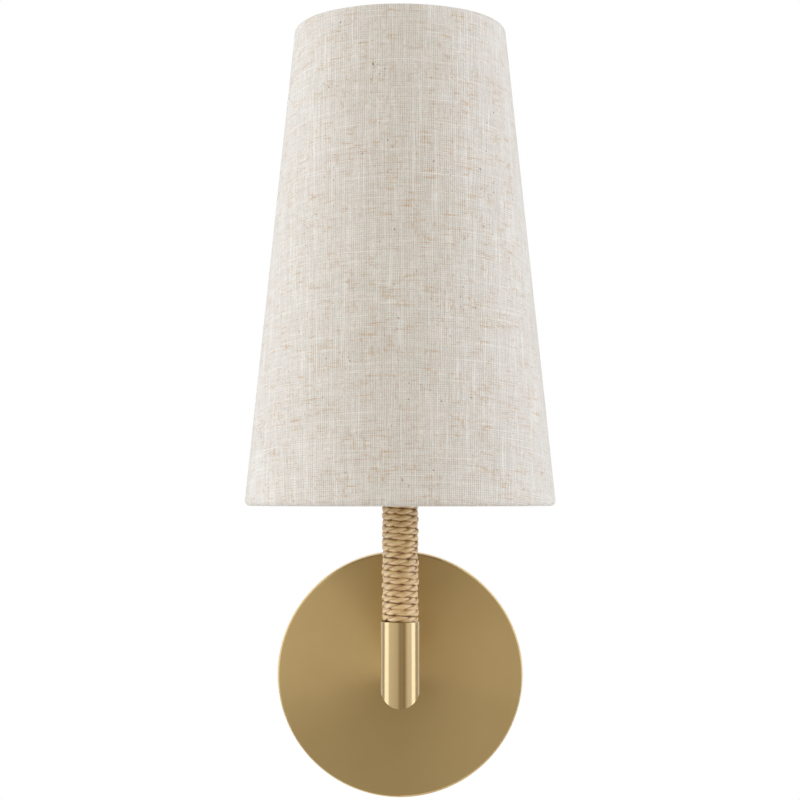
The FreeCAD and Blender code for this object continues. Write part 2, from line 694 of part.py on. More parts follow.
def shade_section():
    """The fabric's section: the wall, both hems round their hoops, and the flaps turned inside."""
    wall_out, wall_in = HEM_OUTER, HEM_INNER
    flap_out = wall_in - FIT - LINING_THICK - FIT
    flap_in = flap_out - FABRIC_THICK
    outer_out, outer_up = hem_tangent(HEM_OUTER, flap_in, HEM_SLOPE)
    inner_out, inner_up = hem_tangent(HEM_INNER, flap_out, HEM_SLOPE)
    steps = [
        [(wall_out, SLANT)],
        [(0, SLANT + HEM_OUTER), (outer_out, SLANT - outer_up)],
        [(flap_in, SLANT - HEM_SLOPE)],
        [(flap_in, SLANT - HEM_FLAP)],
        [(flap_out, SLANT - HEM_FLAP)],
        [(flap_out, SLANT - HEM_SLOPE)],
        [(inner_out, SLANT - inner_up)],
        [(0, SLANT + HEM_INNER), (wall_in, SLANT)],
        [(wall_in, 0)],
        [(0, -HEM_INNER), (inner_out, inner_up)],
        [(flap_out, HEM_SLOPE)],
        [(flap_out, HEM_FLAP)],
        [(flap_in, HEM_FLAP)],
        [(flap_in, HEM_SLOPE)],
        [(outer_out, outer_up)],
        [(0, -HEM_OUTER), (wall_out, 0)],
    ]
    edges = []
    here = on_shade(wall_out, 0)
    for step in steps:
        points = [on_shade(*pair) for pair in step]
        if len(points) == 2:
            edges.append(Part.Arc(here, points[0], points[1]).toShape())
        else:
            edges.append(Part.LineSegment(here, points[0]).toShape())
        here = points[-1]
    return Part.Face(Part.Wire(edges))


def make_fabric():
    """The shade's fabric, with its lapped seam towards the wall and slits where the spokes pass."""
    cloth = shade_section().revolve(AXIS, Z_WAY, 360.0)
    seam_angle = math.degrees(SEAM_WIDTH / (SHADE_BOTTOM_D / 2))
    corners = [(HEM_INNER + FIT, 0), (HEM_OUTER + SEAM_RISE, 0), (HEM_OUTER + SEAM_RISE, SLANT),
               (HEM_INNER + FIT, SLANT)]
    points = [on_shade(*corner) for corner in corners]
    lap = Part.Face(Part.makePolygon(points + points[:1])).revolve(AXIS, Z_WAY, seam_angle)
    lap.rotate(AXIS, Z_WAY, 90 - seam_angle / 2)
    cloth = cloth.fuse(lap)
    return cloth.cut(make_spokes(HOOP_R + SPOKE_SLIT, SPOKE_SLIT_STOP))


def make_lining():
    """Stiff lining behind the fabric, its edges just short of the hoops."""
    outer = HEM_INNER - FIT
    inner = outer - LINING_THICK
    start = HOOP_R
    end = SLANT - HOOP_R
    points = [on_shade(*corner) for corner in ((inner, start), (outer, start), (outer, end), (inner, end))]
    return Part.Face(Part.makePolygon(points + points[:1])).revolve(AXIS, Z_WAY, 360.0)


def make_hoop(centre):
    return Part.makeTorus(centre.x, HOOP_R, AXIS + Z_WAY * centre.z, Z_WAY)


def spoke_path(short):
    """From inside the fitter's ring level outward, a bend, and down to the lower hoop."""
    level = FITTER_Z + FITTER_RING_THICK / 2
    start = V(FITTER_RING_D / 2 - HOOP_R, 0, level)
    corner = V(FITTER_RING_D / 2 + SPOKE_FLAT, 0, level)
    down = (HOOP_LOW - corner).normalize()
    end = HOOP_LOW - down * short
    reach = SPOKE_BEND_R * math.tan(X_WAY.getAngle(down) / 2)
    bend_start = corner - X_WAY * reach
    bend_end = corner + down * reach
    path = [
        Part.LineSegment(start, bend_start).toShape(),
        arc_between(bend_start, corner, bend_end),
        Part.LineSegment(bend_end, end).toShape(),
    ]
    return Part.Wire(path), start


def make_spokes(radius, short=0.0):
    """The spokes as round wires, one towards the wall; short is how far they stop from the hoop."""
    path, start = spoke_path(short)
    shell = Part.BRepOffsetAPI.MakePipeShell(path)
    shell.add(Part.Wire([Part.makeCircle(radius, start, X_WAY)]), False, False)
    shell.build()
    shell.makeSolid()
    spoke = shell.shape()
    spoke.translate(AXIS)
    spoke.rotate(AXIS, Z_WAY, 90.0)
    return around(spoke, AXIS, Z_WAY, FITTER_SPOKES)


def make_fitter():
    """Flat ring that sits on the lamp holder, with spokes down to the hoop in the bottom hem."""
    ring = turned(
        (SKIRT_R + FITTER_RING_PLAY, FITTER_Z),
        (FITTER_RING_D / 2, FITTER_Z),
        (FITTER_RING_D / 2, FITTER_TOP),
        (SKIRT_R + FITTER_RING_PLAY, FITTER_TOP),
    )
    return make_hoop(HOOP_LOW).fuse([ring] + make_spokes(HOOP_R))


# ---- lamp ----------------------------------------------------------------------------------------


def lamp_outline(inset):
    """Rows for the envelope's wall: crown, ball, taper and neck, from the axis down."""
    ball = LAMP_R - inset
    top = LAMP_TOP - inset
    taper = math.radians(LAMP_TAPER_DEG)
    centre = LAMP_TOP - LAMP_R
    widest_corner = centre - ball * math.tan(taper / 2)
    neck = LAMP_NECK_D / 2 - inset
    neck_corner = widest_corner - (ball - neck) / math.tan(taper)
    return [
        (0, top),
        (ball, top, ball),
        (ball, widest_corner, ball),
        (neck, neck_corner, LAMP_NECK_BLEND_R + inset),
    ]


def make_lamp_glass():
    """Blown envelope, its neck stepped in to fit inside the cap."""
    neck = LAMP_NECK_D / 2
    stub = LAMP_CAP_D / 2 - LAMP_CAP_WALL - FIT
    stub_z = LAMP_CAP_TOP - LAMP_STUB
    inside = stub - LAMP_GLASS
    rows = lamp_outline(0.0)
    rows += [(neck, LAMP_CAP_TOP), (stub, LAMP_CAP_TOP), (stub, stub_z), (inside, stub_z)]
    rows += [(inside, LAMP_CAP_TOP + LAMP_GLASS), (neck - LAMP_GLASS, LAMP_CAP_TOP + LAMP_GLASS)]
    rows += lamp_outline(LAMP_GLASS)[::-1]
    return turned(*rows)


def make_lamp_cap():
    outer = LAMP_CAP_D / 2
    inner = outer - LAMP_CAP_WALL
    return sleeve(outer, inner, LAMP_CAP_Z, LAMP_CAP_TOP)


def make_lamp_insulator():
    """Glass foot that closes the cap round the contact."""
    inside = LAMP_CAP_D / 2 - LAMP_CAP_WALL - FIT
    outer = LAMP_CAP_D / 2
    foot_z = LAMP_CAP_Z - LAMP_FOOT_HEIGHT
    return turned(
        (0, foot_z),
        (LAMP_FOOT_D / 2, foot_z),
        (outer, LAMP_CAP_Z),
        (inside, LAMP_CAP_Z),
        (inside, LAMP_CAP_Z + LAMP_FOOT_HEIGHT),
        (0, LAMP_CAP_Z + LAMP_FOOT_HEIGHT),
    )


def make_lamp_contact():
    radius = LAMP_CONTACT_D / 2
    top = LAMP_FOOT_Z + LAMP_CONTACT_HEIGHT
    return turned((0, LAMP_FOOT_Z), (radius, LAMP_FOOT_Z, LAMP_CONTACT_HEIGHT / 2), (radius, top), (0, top))


# ---- all pieces ----------------------------------------------------------------------------------


def main():
    pieces = {
        "backplate": make_canopy(),
        "mounting_strap": make_strap(),
        "canopy_screws": make_canopy_screws(),
        "ground_screw": make_ground_screw(),
        "arm_elbow": make_elbow(),
        "arm_bush": make_arm_bush(),
        "arm_nipple": make_arm_nipple(),
        "arm_washer": make_arm_washer(),
        "arm_lock_washer": make_arm_lock_washer(),
        "arm_nut": make_arm_nut(),
        "stem_bush": make_stem_bush(),
        "stem_tube": make_stem_tube(),
        "rope_wrap": make_rope(),
        "socket_nipple": make_socket_nipple(),
        "socket_cap": make_socket_cap(),
        "socket_core": make_core(),
        "terminal_screws": make_terminal_screws(),
        "screw_shell": make_screw_shell(),
        "centre_contact": make_centre_contact(),
        "socket_skirt": make_skirt(),
        "retaining_ring": make_retaining_ring(),
        "shade_fitter": make_fitter(),
        "shade_top_ring": make_hoop(HOOP_HIGH),
        "shade_lining": make_lining(),
        "shade_fabric": make_fabric(),
        "bulb_glass": make_lamp_glass(),
        "bulb_cap": make_lamp_cap(),
        "bulb_insulator": make_lamp_insulator(),
        "bulb_contact": make_lamp_contact(),
    }
    os.makedirs("parts", exist_ok=True)
    for name, shape in pieces.items():
        shape.exportStep(os.path.join("parts", name + ".step"))
        print(f"{name}: solids {len(shape.Solids)}, valid {shape.isValid()}, volume {shape.Volume:.1f}")


if __name__ == "__main__":
    main()
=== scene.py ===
import json
import math

import bpy
import numpy as np
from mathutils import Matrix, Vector, noise


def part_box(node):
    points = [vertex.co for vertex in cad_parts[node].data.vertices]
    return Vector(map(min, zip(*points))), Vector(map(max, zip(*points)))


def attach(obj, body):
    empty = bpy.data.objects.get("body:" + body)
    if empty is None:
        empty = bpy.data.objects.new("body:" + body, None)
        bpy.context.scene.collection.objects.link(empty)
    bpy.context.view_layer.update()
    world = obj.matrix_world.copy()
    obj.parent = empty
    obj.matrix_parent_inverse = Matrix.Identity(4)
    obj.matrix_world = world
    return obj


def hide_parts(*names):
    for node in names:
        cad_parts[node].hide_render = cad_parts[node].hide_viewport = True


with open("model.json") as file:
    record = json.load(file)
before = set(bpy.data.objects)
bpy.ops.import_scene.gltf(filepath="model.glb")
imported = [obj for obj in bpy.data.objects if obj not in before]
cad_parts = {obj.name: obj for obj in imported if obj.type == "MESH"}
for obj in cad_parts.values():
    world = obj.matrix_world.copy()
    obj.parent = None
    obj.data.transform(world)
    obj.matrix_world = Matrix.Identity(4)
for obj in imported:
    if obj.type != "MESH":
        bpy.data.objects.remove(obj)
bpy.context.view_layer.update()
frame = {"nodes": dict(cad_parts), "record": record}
nodes = frame["nodes"]

# ---- places and sizes, in metres, from the frame --------------------------------------------------

MM = 0.001

shade_low, shade_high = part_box("shade_fabric")
hoop_low, hoop_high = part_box("shade_top_ring")
fitter_low, fitter_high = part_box("shade_fitter")
stem_low, stem_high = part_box("stem_tube")
wrap_low, wrap_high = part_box("rope_wrap")
_, elbow_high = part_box("arm_elbow")

AXIS_X = (stem_low.x + stem_high.x) / 2
AXIS_Y = (stem_low.y + stem_high.y) / 2
STEM_R = (stem_high.x - stem_low.x) / 2
SAME_POINT = 0.001 * MM       # points nearer to each other than this are one

# ---- helpers --------------------------------------------------------------------------------------


def deselect():
    bpy.ops.object.select_all(action="DESELECT")


def select_only(obj):
    deselect()
    obj.select_set(True)
    bpy.context.view_layer.objects.active = obj


def place_in_mesh(obj):
    """Leaves the object at the origin, with its place in its mesh."""
    select_only(obj)
    bpy.ops.object.transform_apply(location=True, rotation=True, scale=True)


def finish_piece(obj, name, body, material):
    """Names a piece, gives it its finish and lets it ride on its body."""
    obj.name = name
    obj.data.name = name
    obj.data.materials.clear()
    obj.data.materials.append(material)
    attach(obj, body)


def spun_skin(rings, segments):
    """A skin round the upright axis, drawn from a circle by extruding it from ring to ring.
    rings are (radius, height); the last one joins the first when they are alike."""
    deselect()
    radius, height = rings[0]
    bpy.ops.mesh.primitive_circle_add(vertices=segments, radius=radius, location=(AXIS_X, AXIS_Y, height))
    bpy.ops.object.mode_set(mode="EDIT")
    for (last_radius, last_height), (radius, height) in zip(rings, rings[1:]):
        rise = (0, 0, height - last_height)
        bpy.ops.mesh.extrude_region_move(TRANSFORM_OT_translate={"value": rise})
        spread = radius / last_radius
        bpy.ops.transform.resize(value=(spread, spread, 1), center_override=(AXIS_X, AXIS_Y, height))
    bpy.ops.mesh.select_all(action="SELECT")
    bpy.ops.mesh.remove_doubles(threshold=SAME_POINT)
    bpy.ops.mesh.normals_make_consistent(inside=False)
    bpy.ops.object.mode_set(mode="OBJECT")
    obj = bpy.context.active_object
    place_in_mesh(obj)
    bpy.ops.object.shade_smooth()
    return obj


def read_all(items, name, width=1, kind=float):
    """One property of every item of a mesh, as an array."""
    values = np.empty(len(items) * width, dtype=kind)
    items.foreach_get(name, values)
    return values


# ---- material building ----------------------------------------------------------------------------

SHIFT_WAY = (1.0, 0.7, 0.3)   # the way along which noises are shifted apart


def srgb(red, green, blue):
    """A colour given as it looks on a screen, from 0 to 255, in the shader's own terms."""
    def straight(value):
        value /= 255
        return value / 12.92 if value <= 0.04045 else ((value + 0.055) / 1.055) ** 2.4
    return (straight(red), straight(green), straight(blue), 1.0)


def new_material(name, **values):
    """A material with its Principled shader's own sockets set; _ in a name stands for a space."""
    material = bpy.data.materials.new(name)
    material.use_nodes = True
    tree = material.node_tree
    shader = tree.nodes["Principled BSDF"]
    for key, value in values.items():
        shader.inputs[key.replace("_", " ")].default_value = value
    return material, tree, shader


def new_group(name, inputs, outputs):
    """A shader node group with its sockets given as names and kinds, and its two ends' sockets."""
    group = bpy.data.node_groups.new(name, "ShaderNodeTree")
    for in_out, sockets in (("INPUT", inputs), ("OUTPUT", outputs)):
        for socket, kind in sockets.items():
            group.interface.new_socket(socket, in_out=in_out, socket_type="NodeSocket" + kind)
    return group, group.nodes.new("NodeGroupInput").outputs, group.nodes.new("NodeGroupOutput").inputs


def add_node(tree, kind, settings=None, **inputs):
    """A node with its settings, and its inputs given as values or as the sockets that feed them.
    An input is called by its name, with _ for a space, or by its place as i0, i1 or i2."""
    node = tree.nodes.new("ShaderNode" + kind)
    for key, value in (settings or {}).items():
        setattr(node, key, value)
    for key, value in inputs.items():
        by_place = key[0] == "i" and key[1:].isdigit()
        socket = node.inputs[int(key[1:]) if by_place else key.replace("_", " ")]
        if isinstance(value, bpy.types.NodeSocket):
            tree.links.new(value, socket)
        else:
            socket.default_value = value
    return node


def calc(tree, operation, *values):
    """The result of a sum on values or sockets."""
    places = {f"i{index}": value for index, value in enumerate(values)}
    return add_node(tree, "Math", {"operation": operation}, **places).outputs[0]


def soft_step(tree, value, low, high, start=0.0, end=1.0):
    """Passes softly from start to end while a value goes from low to high."""
    return add_node(tree, "MapRange", {"interpolation_type": "SMOOTHSTEP"}, Value=value, From_Min=low,
                    From_Max=high, To_Min=start, To_Max=end).outputs["Result"]


def blend(tree, share, first, second, way="MIX"):
    """The first colour with a share of the second mixed in, or multiplied in."""
    return add_node(tree, "Mix", {"data_type": "RGBA", "blend_type": way}, Factor=share, A=first,
                    B=second).outputs["Result"]


def ramp(tree, value, stops):
    """Colours that follow a value; stops are (position, colour) in rising order."""
    node = add_node(tree, "ValToRGB", Fac=value)
    made = node.color_ramp.elements
    for index, (position, colour) in enumerate(stops):
        stop = made[index] if index < 2 else made.new(position)
        stop.position = position
        stop.color = colour
    return node.outputs[0]


def object_xyz(tree):
    """A place on the object, as the sockets X, Y and Z."""
    place = add_node(tree, "TexCoord").outputs["Object"]
    return add_node(tree, "SeparateXYZ", Vector=place).outputs


def noise_at(tree, place, scale, detail=2.0, roughness=0.5, shift=0.0):
    """A noise that changes scale times a metre along each way of place."""
    stretch = add_node(tree, "Mapping", Vector=place, Scale=scale,
                       Location=[shift * part for part in SHIFT_WAY])
    return add_node(tree, "TexNoise", Vector=stretch.outputs[0], Scale=1.0, Detail=detail,
                    Roughness=roughness).outputs["Fac"]


def feed_shader(tree, shader, group, **values):
    """Places a group with its values, and joins its outputs to the shader's sockets of those names."""
    placed = add_node(tree, "Group", {"node_tree": group}, **values)
    for output in placed.outputs:
        tree.links.new(output, shader.inputs[output.name])


# ---- metal, moulded and painted surfaces ----------------------------------------------------------

GRAIN_RELIEF = 0.1 * MM       # how high a full depth of brushing or mottling stands
METAL_UNEVEN = 0.08           # how far a metal's brushing changes its roughness
MOTTLE_UNEVEN = 0.15
TARNISH_CLOUDS = 45.0         # changes a metre
TURNED_RINGS = 2600.0         # changes a metre outwards
TURNED_ROUND = 1.2            # changes a radian round
SURFACE_OUTPUTS = {"Base Color": "Color", "Roughness": "Float", "Normal": "Vector"}


def put_out_surface(group, ins, outs, tint, grain, uneven):
    """Puts out a tint, and the roughness and normal that a fine grain gives."""
    centred = calc(group, "SUBTRACT", grain, 0.5)
    rough = calc(group, "MULTIPLY_ADD", centred, uneven, ins["Roughness"])
    bump = add_node(group, "Bump", Strength=ins["Depth"], Distance=GRAIN_RELIEF, Height=grain)
    group.links.new(tint, outs["Base Color"])
    group.links.new(rough, outs["Roughness"])
    group.links.new(bump.outputs[0], outs["Normal"])


def brushed_group():
    """Fine straight brushing and faint tarnish."""
    group, ins, outs = new_group(
        "brushed metal",
        {"Vector": "Vector", "Base": "Color", "Tarnish": "Color", "Tarnish share": "Float",
         "Roughness": "Float", "Depth": "Float"},
        SURFACE_OUTPUTS,
    )
    streaks = add_node(group, "TexNoise", Vector=ins["Vector"], Scale=1.0, Detail=3.0, Roughness=0.6)
    place = add_node(group, "TexCoord").outputs["Object"]
    clouds = add_node(group, "TexNoise", Vector=place, Scale=TARNISH_CLOUDS, Detail=4.0)
    share = calc(group, "MULTIPLY", clouds.outputs["Fac"], ins["Tarnish share"])
    tint = blend(group, share, ins["Base"], ins["Tarnish"])
    put_out_surface(group, ins, outs, tint, streaks.outputs["Fac"], METAL_UNEVEN)
    return group


def mottled_group():
    """Soft mottling for moulded, glazed and painted surfaces."""
    group, ins, outs = new_group(
        "mottled surface",
        {"Base": "Color", "Other": "Color", "Scale": "Float", "Roughness": "Float", "Depth": "Float"},
        SURFACE_OUTPUTS,
    )
    place = add_node(group, "TexCoord").outputs["Object"]
    grain = add_node(group, "TexNoise", Vector=place, Scale=ins["Scale"], Detail=5.0).outputs["Fac"]
    tint = blend(group, grain, ins["Base"], ins["Other"])
    put_out_surface(group, ins, outs, tint, grain, MOTTLE_UNEVEN)
    return group


BRUSHED = brushed_group()
MOTTLED = mottled_group()


def metal(name, base, tarnish, share, roughness, brushing, depth=0.15, coat=0.0):
    """A brushed metal; brushing is how fast the streaks change along X, Y and Z, per metre."""
    material, tree, shader = new_material(name, Metallic=1.0, Coat_Weight=coat, Coat_Roughness=0.12)
    place = add_node(tree, "TexCoord").outputs["Object"]
    stretch = add_node(tree, "Mapping", Vector=place, Scale=brushing)
    feed_shader(tree, shader, BRUSHED, Vector=stretch.outputs[0], Base=base, Tarnish=tarnish,
                Tarnish_share=share, Roughness=roughness, Depth=depth)
    return material


def turned_metal(name, base, tarnish, share, roughness):
    """Metal brushed in rings round the Y axis, so that its gloss spreads outwards from the middle."""
    material, tree, shader = new_material(name, Metallic=1.0, Anisotropic=0.84, Anisotropic_Rotation=0.25)
    spot = object_xyz(tree)
    flat = add_node(tree, "CombineXYZ", X=spot["X"], Y=spot["Z"])
    radius = add_node(tree, "VectorMath", {"operation": "LENGTH"}, i0=flat.outputs[0]).outputs["Value"]
    angle = calc(tree, "ARCTAN2", spot["X"], spot["Z"])
    rings = add_node(tree, "CombineXYZ", X=calc(tree, "MULTIPLY", radius, TURNED_RINGS),
                     Y=calc(tree, "MULTIPLY", angle, TURNED_ROUND))
    feed_shader(tree, shader, BRUSHED, Vector=rings.outputs[0], Base=base, Tarnish=tarnish,
                Tarnish_share=share, Roughness=roughness, Depth=0.06)
    tangent = add_node(tree, "Tangent", {"direction_type": "RADIAL", "axis": "Y"})
    tree.links.new(tangent.outputs[0], shader.inputs["Tangent"])
    return material


def mottled(name, base, other, scale, roughness, depth=0.1, **values):
    """A surface with soft mottling that changes scale times a metre."""
    material, tree, shader = new_material(name, **values)
    feed_shader(tree, shader, MOTTLED, Base=base, Other=other, Scale=scale, Roughness=roughness, Depth=depth)
    return material


FINISHES = {
    "canopy_brass": turned_metal("satin brass, canopy", srgb(219, 191, 136), srgb(198, 168, 111),
                                 share=0.4, roughness=0.35),
    "arm_brass": metal("satin brass, arm", srgb(198, 171, 122), srgb(182, 154, 104), share=0.35,
                       roughness=0.19, brushing=(2600, 2600, 40), depth=0.10, coat=0.6),
    "holder_brass": metal("satin brass, lamp holder", srgb(190, 162, 112), srgb(170, 140, 90),
                          share=0.4, roughness=0.26, brushing=(300, 300, 2400)),
    "bare_brass": metal("turned brass", srgb(228, 192, 118), srgb(180, 140, 70), share=0.4,
                        roughness=0.22, brushing=(400, 2400, 400)),
    "zinc_steel": metal("zinc plated steel", srgb(196, 198, 200), srgb(160, 158, 150), share=0.6,
                        roughness=0.34, brushing=(220, 900, 220)),
    "shell_metal": metal("bright shell metal", srgb(214, 214, 212), srgb(180, 176, 166), share=0.5,
                         roughness=0.24, brushing=(300, 300, 1800)),
    "solder": metal("solder", srgb(170, 170, 168), srgb(130, 128, 122), share=0.7, roughness=0.45,
                    brushing=(700, 700, 700)),
    "earth_green": mottled("green lacquer", srgb(36, 128, 62), srgb(24, 96, 46), scale=600.0,
                           roughness=0.35, Metallic=0.6),
    "porcelain": mottled("glazed ceramic", srgb(236, 232, 222), srgb(226, 220, 206), scale=260.0,
                         roughness=0.18, Coat_Weight=0.4),
    "holder_black": mottled("black moulded resin", srgb(30, 29, 28), srgb(20, 20, 20), scale=900.0,
                            roughness=0.42, depth=0.25),
    "frame_white": mottled("white powder coat", srgb(236, 234, 228), srgb(224, 221, 213), scale=1500.0,
                           roughness=0.5, depth=0.5),
    "lining_white": mottled("off-white lining", srgb(228, 220, 205), srgb(218, 209, 192), scale=500.0,
                            roughness=0.45, depth=0.15),
    "opal_glass": mottled("opal glass", srgb(242, 241, 236), srgb(236, 234, 228), scale=120.0,
                          roughness=0.22, depth=0.02, Coat_Weight=0.5),
    "black_glass": mottled("black glass", srgb(18, 18, 20), srgb(10, 10, 12), scale=400.0,
                           roughness=0.15, depth=0.05, Coat_Weight=0.3),
}


def dress_cad_nodes():
    """Each carried-over solid gets its slot's finish."""
    for row in frame["record"]["subparts"]:
        finish = FINISHES.get(row["material_slot"])
        if finish:
            mesh = nodes[row["node"]].data
            mesh.materials.clear()
            mesh.materials.append(finish)


# ---- shade cloth ----------------------------------------------------------------------------------

CLOTH_THICK = 0.8 * MM
HEM_ROOM = 0.05 * MM          # between the cloth and what it lies on
LINING_THICK = 0.5 * MM
HEM_SLOPE = 6.0 * MM          # how far from a hoop the turned hem comes to lie flat
HEM_FLAP = 12.0 * MM          # how far from a hoop the turned hem ends
HEM_STEPS = 14
WALL_ROWS = 60
INNER_ROWS = 12
CLOTH_SEGMENTS = 288
SEAM_SEGMENTS = 6
SEAM_RISE = 0.6 * MM
SEAM_ROOM = 1e-4              # radians by which a face at the seam's edge may miss it
OUTER_FROM = 0.9              # cosine from which a face counts as facing outwards
OUTER_REACH = 0.5 * MM        # how far outside the hoops' line the cloth's outer side at least lies
BACK_TURN = 2.0               # radians from the front past which a corner lies at the back
FLAT_UP = 1.0                 # metres by which the flat cloth is moved up, off the cone's apex

WARP_PITCH = 0.98 * MM
WEFT_PITCH = 1.02 * MM
THREAD_WANDER = 1.6           # threads by which a thread wanders aside
THREAD_RELIEF = 0.15 * MM
WARP_HEIGHT = 0.6
WEFT_HEIGHT = 0.4
SLUB_HEIGHT = 0.6
SLUB_UNDER = 0.2              # how much of a slub is left where it goes under the other threads
WARP_SLUBS = 0.8              # how strong the warp's slubs are beside the weft's


def shade_lines():
    """The middles of the lower and the upper hoop as (radius, height), and their wires' radius."""
    wire_r = (hoop_high.z - hoop_low.z) / 2
    wrap = wire_r + HEM_ROOM + CLOTH_THICK
    hoop_r = (fitter_high.x - fitter_low.x) / 2 - wire_r
    cloth_r = (shade_high.x - shade_low.x) / 2 - wrap
    low = Vector((max(cloth_r, hoop_r), shade_low.z + wrap))
    high = Vector(((hoop_high.x - hoop_low.x) / 2 - wire_r, (hoop_low.z + hoop_high.z) / 2))
    return low, high, wire_r


def hem_arc(up, radius, start, end):
    """Points round a hoop's wire, with angles in radians from the outward side of the cloth."""
    for step in range(HEM_STEPS + 1):
        angle = start + (end - start) * step / HEM_STEPS
        yield radius * math.cos(angle), up + radius * math.sin(angle)


def cloth_section(slant, wire_r):
    """The cloth's closed section as (out, up) from the lower hoop's middle."""
    inner = wire_r + HEM_ROOM
    outer = inner + CLOTH_THICK
    flap_out = inner - 2 * HEM_ROOM - LINING_THICK
    flap_in = flap_out - CLOTH_THICK

    def touch(radius, out):
        return math.atan2(HEM_SLOPE, out) + math.acos(radius / math.hypot(out, HEM_SLOPE))

    outer_touch = touch(outer, flap_in)
    inner_touch = touch(inner, flap_out)
    points = [(outer, slant * row / WALL_ROWS) for row in range(WALL_ROWS)]
    points += hem_arc(slant, outer, 0, 2 * math.pi - outer_touch)
    points += [(flap_in, slant - HEM_SLOPE), (flap_in, slant - HEM_FLAP)]
    points += [(flap_out, slant - HEM_FLAP), (flap_out, slant - HEM_SLOPE)]
    points += hem_arc(slant, inner, 2 * math.pi - inner_touch, 0)
    points += [(inner, slant * row / INNER_ROWS) for row in range(INNER_ROWS - 1, 0, -1)]
    points += hem_arc(0, inner, 0, inner_touch - 2 * math.pi)
    points += [(flap_out, HEM_SLOPE), (flap_out, HEM_FLAP), (flap_in, HEM_FLAP), (flap_in, HEM_SLOPE)]
    points += hem_arc(0, outer, outer_touch - 2 * math.pi, 0)
    return points


def weave_group():
    """Slub linen: warp and weft threads, thick and thin, with tan slubs and dark specks."""
    group, ins, outs = new_group(
        "slub weave",
        {"Vector": "Vector", "Warp pitch": "Float", "Weft pitch": "Float", "Depth": "Float",
         "Base": "Color", "Pale": "Color", "Dark": "Color", "Slub": "Color", "Speck": "Color"},
        {"Base Color": "Color", "Normal": "Vector"},
    )
    flat = ins["Vector"]
    across_up = add_node(group, "SeparateXYZ", Vector=flat).outputs

    def times(first, second):
        return calc(group, "MULTIPLY", first, second)

    def times_plus(first, second, third):
        return calc(group, "MULTIPLY_ADD", first, second, third)

    def streaks(across, up, low, high, shift, detail=2.0, roughness=0.5):
        """Where a noise that changes so many times a metre across and up passes from low to high."""
        made = noise_at(group, flat, (across, up, 1), detail, roughness, shift)
        return soft_step(group, made, low, high)

    def threads(coordinate, pitch, aside):
        place = times_plus(aside, THREAD_WANDER, calc(group, "DIVIDE", coordinate, pitch))
        wave = calc(group, "SINE", times(place, 2 * math.pi))
        return times_plus(wave, 0.5, 0.5)

    warp = threads(across_up["X"], ins["Warp pitch"], noise_at(group, flat, (210, 45, 1)))
    weft = threads(across_up["Y"], ins["Weft pitch"], noise_at(group, flat, (45, 210, 1), shift=3.0))
    between_warp = calc(group, "SUBTRACT", 1.0, warp)
    between_weft = calc(group, "SUBTRACT", 1.0, weft)
    warp_gap = times(between_warp, streaks(620, 70, 0.12, 0.60, shift=5.0))
    weft_gap = times(between_weft, streaks(80, 620, 0.16, 0.62, shift=9.0))
    cloud = noise_at(group, flat, (28, 24, 1), detail=3.0, shift=2.0)
    warp_band = streaks(520, 30, 0.46, 0.70, shift=12.0, roughness=0.6)
    weft_band = streaks(34, 560, 0.48, 0.72, shift=15.0, roughness=0.6)
    warp_pale = streaks(1250, 30, 0.57, 0.72, shift=18.0, detail=1.0)
    weft_pale = streaks(28, 1250, 0.60, 0.74, shift=21.0, detail=1.0)
    patch = streaks(90, 140, 0.44, 0.60, shift=24.0, detail=5.0, roughness=0.8)
    warp_slub = times(streaks(1250, 190, 0.55, 0.70, shift=27.0, detail=1.0), WARP_SLUBS)
    weft_slub = streaks(110, 1250, 0.52, 0.64, shift=30.0, roughness=0.6)
    warp_slub = times(warp_slub, times_plus(weft, 1 - SLUB_UNDER, SLUB_UNDER))
    weft_slub = times(weft_slub, times_plus(between_warp, 1 - SLUB_UNDER, SLUB_UNDER))
    slub = times(calc(group, "MAXIMUM", warp_slub, weft_slub), patch)
    fleck = streaks(1000, 1050, 0.38, 0.64, shift=42.0)
    speck = streaks(640, 440, 0.70, 0.77, shift=33.0, detail=1.0)
    speck = times(speck, streaks(60, 50, 0.44, 0.60, shift=36.0))

    layers = (                # what shows, how strongly, and in which of the cloth's tones
        (cloud, 0.14, "Dark"),
        (fleck, 0.22, "Dark"),
        (warp_band, 0.10, "Dark"),
        (weft_band, 0.08, "Dark"),
        (warp_gap, 0.56, "Dark"),
        (weft_gap, 0.32, "Dark"),
        (warp_pale, 0.30, "Pale"),
        (weft_pale, 0.26, "Pale"),
        (slub, 0.86, "Slub"),
        (speck, 0.75, "Speck"),
    )
    colour = ins["Base"]
    for mask, share, tone in layers:
        colour = blend(group, times(mask, share), colour, ins[tone])
    height = calc(group, "ADD", times(warp, WARP_HEIGHT), times(weft, WEFT_HEIGHT))
    height = times_plus(slub, SLUB_HEIGHT, height)
    bump = add_node(group, "Bump", Strength=ins["Depth"], Distance=THREAD_RELIEF, Height=height)
    group.links.new(colour, outs["Base Color"])
    group.links.new(bump.outputs[0], outs["Normal"])
    return group


def cloth_material():
    """Slub linen, whose threads follow the flat cloth's UV map."""
    material, tree, shader = new_material("slub linen", Roughness=0.85, Specular_IOR_Level=0.25,
                                          Sheen_Weight=0.5, Sheen_Roughness=0.40)
    place = add_node(tree, "UVMap", {"uv_map": "flat cloth"})
    feed_shader(tree, shader, weave_group(), Vector=place.outputs["UV"], Warp_pitch=WARP_PITCH,
                Weft_pitch=WEFT_PITCH, Depth=0.6, Base=srgb(241, 233, 223), Pale=srgb(250, 247, 240),
                Dark=srgb(184, 172, 156), Slub=srgb(192, 146, 88), Speck=srgb(140, 108, 76))
    return material


